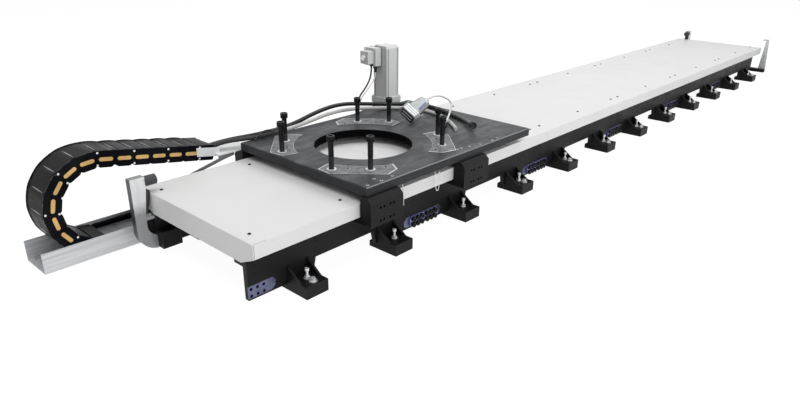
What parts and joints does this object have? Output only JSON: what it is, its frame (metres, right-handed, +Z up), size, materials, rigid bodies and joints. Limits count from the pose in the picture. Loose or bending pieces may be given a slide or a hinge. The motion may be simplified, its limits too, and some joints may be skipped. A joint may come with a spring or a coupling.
{
  "type": "robot linear track",
  "caption": "Floor-standing linear track with a sheet cover, a rack-driven carriage with a robot plate, and an energy chain in a side trough.",
  "frame": {"origin": "middle of the free floor-anchor holes at the second and the last but one foot, on the floor", "axes": "+X along the travel towards the post, +Y towards the chain and drive side, +Z up"},
  "size_m": [6.5022, 1.12, 0.69],
  "materials": {
    "cover_paint": "smooth pale grey-white paint",
    "black_paint": "satin black paint",
    "splice_zinc": "bluish zinc plating",
    "bright_steel": "bright zinc plating",
    "ground_steel": "ground and lightly oiled",
    "galvanised": "galvanised sheet",
    "plate_grey": "dark mottled grey",
    "black_oxide": "black oxide",
    "motor_grey": "light grey paint",
    "chain_black": "moulded, near black",
    "chain_lid": "moulded, dark grey",
    "slide_strip": "smooth sliding strip",
    "bumper_rubber": "matte",
    "hose_rubber": "satin",
    "braid": "braided sleeve",
    "cable_black": "matte sheath",
    "hood_metal": "die cast",
    "plug_black": "moulded"
  },
  "bodies": {
    "track": {"beam_near": "black_paint", "beam_far": "black_paint", "splice_plates": "splice_zinc", "feet_near": "black_paint", "feet_far": "black_paint", "levelling_screws": "bright_steel", "anchor_washers": "bright_steel", "anchor_bolts": "black_oxide", "cross_members": "black_paint", "cover_rails": "black_paint", "cover_bars": "black_paint", "cover_panels": "cover_paint", "end_cap_left": "cover_paint", "end_cap_right": "cover_paint", "rail_near": "ground_steel", "rail_far": "ground_steel", "rack_carrier": "black_paint", "rack": "ground_steel", "stop_left": "bright_steel", "stop_right": "bright_steel", "bumpers": "bumper_rubber", "stop_blocks": "black_paint", "post_foot": "black_paint", "post": "galvanised", "trough": "galvanised", "glide_strips": "slide_strip", "chain_lower": "chain_black", "chain_clamp": "galvanised"},
    "carriage": {"guide_blocks": "black_paint", "saddles": "black_paint", "arms_near": "black_paint", "arms_far": "black_paint", "carriage_plate": "plate_grey", "robot_washers": "bright_steel", "robot_screws": "black_oxide", "gearbox": "black_paint", "motor_bracket": "black_paint", "motor_flange_block": "ground_steel", "motor_body": "motor_grey", "motor_cap": "motor_grey", "terminal_box": "motor_grey", "motor_connector": "bright_steel", "cable_glands": "bright_steel", "chain_upper": "chain_black", "tow_bracket": "galvanised", "cam_strip": "galvanised", "hose_black": "hose_rubber", "hose_braided": "braid", "motor_cable": "cable_black", "connector_hood": "hood_metal", "hood_cable": "cable_black", "plugs": "plug_black"},
    "pinion": {"pinion": "ground_steel", "pinion_shaft": "ground_steel"},
    "chain_loop": {"loop_sides": "chain_black", "loop_lids": "chain_lid"}
  },
  "joints": [
    {"name": "carriage_slide", "type": "slide", "parent": "track", "child": "carriage", "axis": [1, 0, 0], "range_m": [-0.45, 4.15]},
    {"name": "pinion_spin", "type": "hinge", "parent": "carriage", "child": "pinion", "pos_m": [-1.358, 0.506, 0.15], "axis": [0, 0, 1], "range_deg": [-3400, 370]},
    {"name": "chain_loop_slide", "type": "slide", "parent": "carriage", "child": "chain_loop", "axis": [1, 0, 0], "range_m": [-2.08, 0.23], "deforming": ["chain_lower", "chain_upper"]}
  ],
  "couplings": [
    {"joint": "pinion_spin", "follows": "carriage_slide", "rad_per_m": -14.286},
    {"joint": "chain_loop_slide", "follows": "carriage_slide", "ratio": -0.5}
  ]
}
